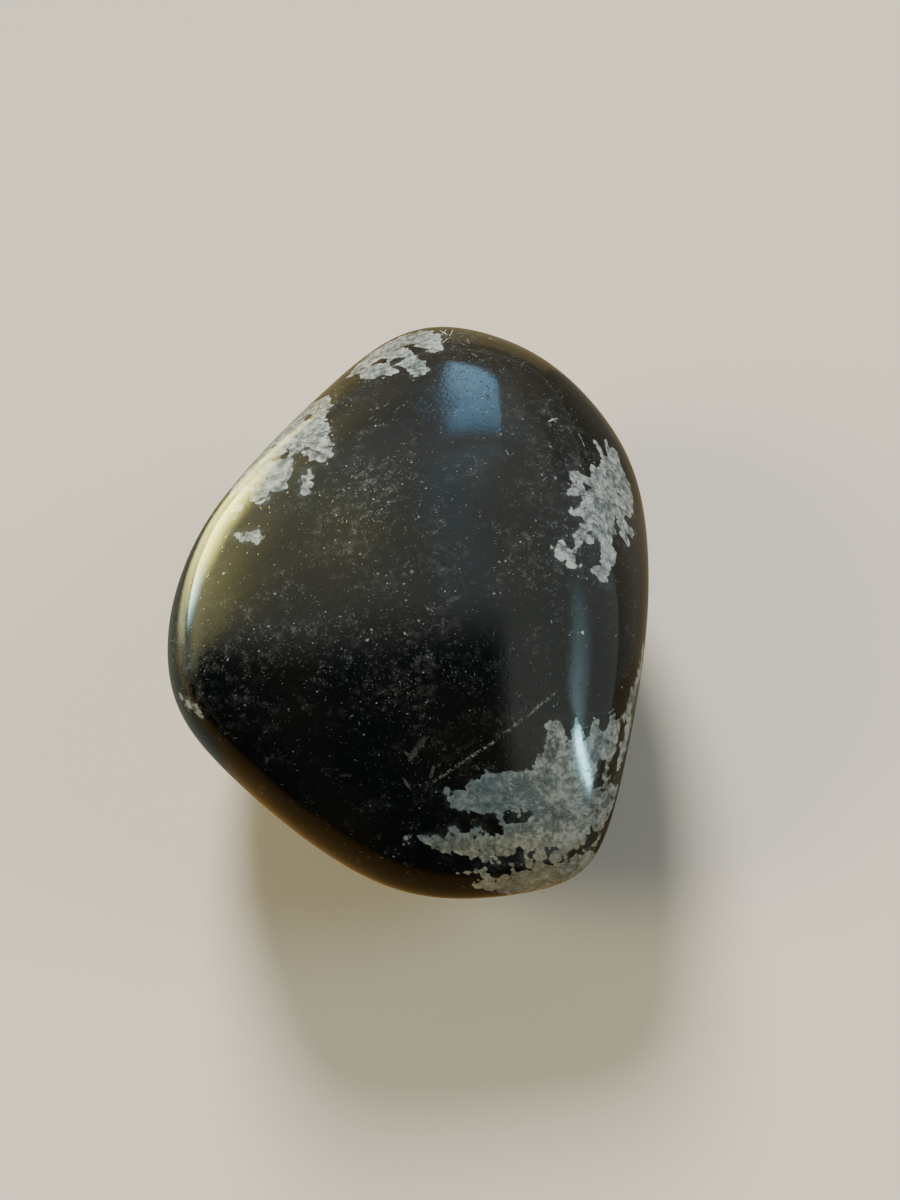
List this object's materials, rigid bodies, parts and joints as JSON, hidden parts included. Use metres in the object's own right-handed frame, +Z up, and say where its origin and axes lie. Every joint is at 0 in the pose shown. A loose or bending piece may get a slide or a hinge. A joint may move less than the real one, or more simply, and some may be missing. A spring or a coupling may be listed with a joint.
{
  "type": "snowflake obsidian tumbled stone",
  "caption": "Rounded, polished pebble of black volcanic glass with grey snowflake crystal patches; lies flat, to hold, collect or display.",
  "frame": {"origin": "on the floor, below the middle of the stone's bounding box", "axes": "+Z up from the flat it rests on, +Y along its longest side, +X across"},
  "size_m": [0.033, 0.0409, 0.021],
  "materials": {
    "obsidian": "tumble-polished volcanic glass, near black, with dull grey crystal patches"
  },
  "bodies": {
    "root": {"stone": "obsidian"}
  },
  "joints": []
}
